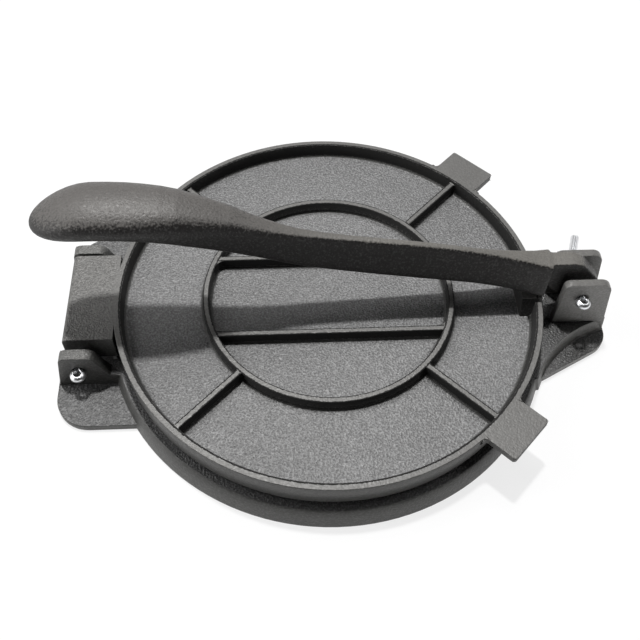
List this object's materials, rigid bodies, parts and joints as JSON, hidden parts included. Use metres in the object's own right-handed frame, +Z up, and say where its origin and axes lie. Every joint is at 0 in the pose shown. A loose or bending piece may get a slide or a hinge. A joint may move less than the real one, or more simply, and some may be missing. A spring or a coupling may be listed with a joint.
{
  "type": "tortilla press",
  "caption": "Cast-iron press: round ribbed lid hinged on a round base, closed by a long lever with a broad rounded grip.",
  "frame": {"origin": "centre of the round plates, on the table plane under the base", "axes": "+X from the lid's hinge to the lever's pin, +Y away from the user, +Z up"},
  "size_m": [0.3325, 0.267, 0.1188],
  "materials": {
    "seasoned_iron": "fine sand-cast grain, seasoned black",
    "lever_iron": "fine sand-cast grain, smoother on the grip",
    "zinc_steel": "bright zinc plate"
  },
  "bodies": {
    "base": {"base": "seasoned_iron", "lever_pin": "zinc_steel", "hinge_pins": "zinc_steel"},
    "lid": {"lid": "seasoned_iron"},
    "lever": {"lever": "lever_iron"}
  },
  "joints": [
    {"name": "lever_pivot", "type": "hinge", "parent": "base", "child": "lever", "pos_m": [0.1492, 0, 0.0381], "axis": [0, 1, 0], "range_deg": [0, 165]},
    {"name": "lid_hinge", "type": "hinge", "parent": "base", "child": "lid", "pos_m": [-0.146, 0, 0.0196], "axis": [0, -1, 0], "range_deg": [0, 12.38]}
  ],
  "couplings": [
    {"joint": "lid_hinge", "follows": "lever_pivot", "ratio": 0.075}
  ]
}
